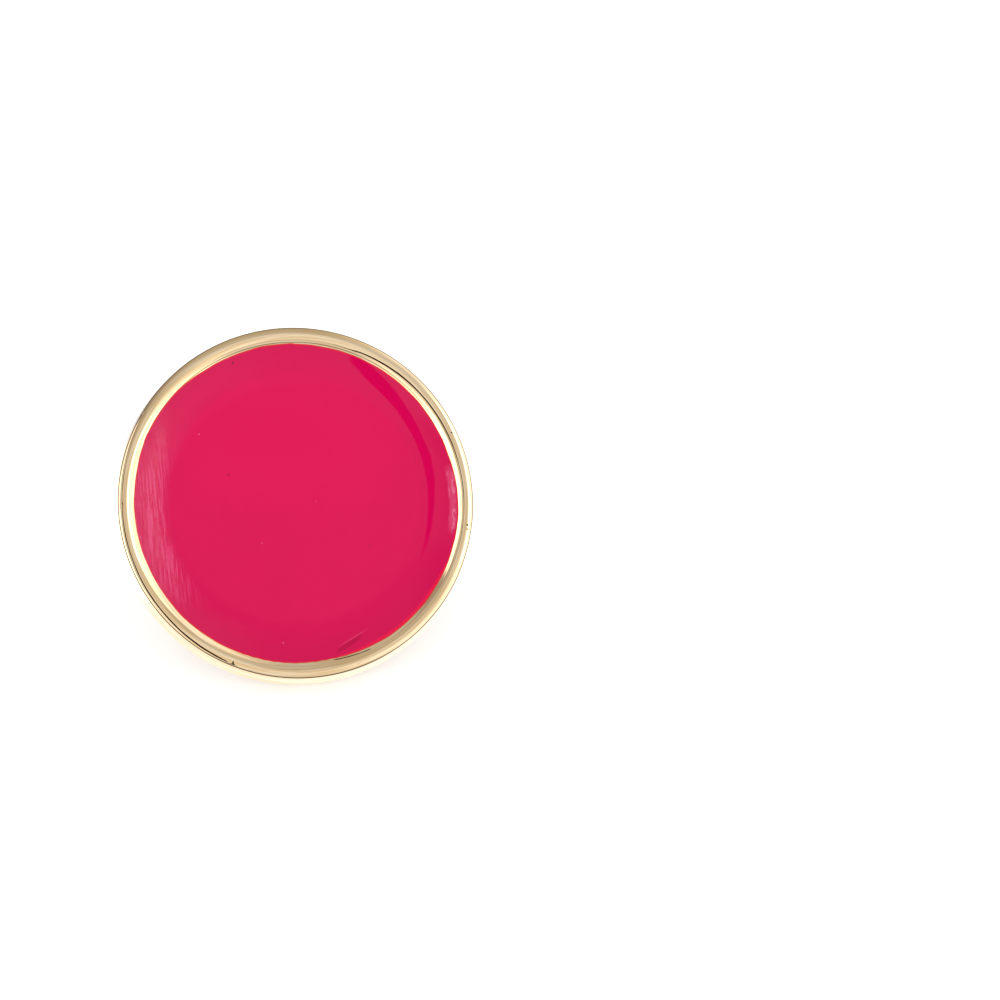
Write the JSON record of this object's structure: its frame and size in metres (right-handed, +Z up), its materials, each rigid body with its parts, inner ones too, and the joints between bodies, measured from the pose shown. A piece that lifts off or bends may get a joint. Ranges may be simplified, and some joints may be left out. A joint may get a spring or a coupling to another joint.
{
  "type": "enamel button stud earring",
  "caption": "Round button stud earring: a shallow gold-plated cup with a raised rim, filled with glossy pink enamel, on a pad post for a pierced ear.",
  "frame": {"origin": "on the surface that the earring lies on, under the middle of its bounding box", "axes": "+X across the face, +Y from the front to the back, +Z up; the face leans back by 41.6 degrees, so that the enamel faces forwards and up"},
  "size_m": [0.0244, 0.0194, 0.0175],
  "materials": {
    "gold_plate": "polished pale gold plating",
    "enamel": "glossy cold enamel, opaque pink",
    "gold_plated_steel": "drawn wire, pale gold plating"
  },
  "bodies": {
    "root": {"setting": "gold_plate", "enamel_fill": "enamel", "ear_post": "gold_plated_steel"}
  },
  "joints": []
}
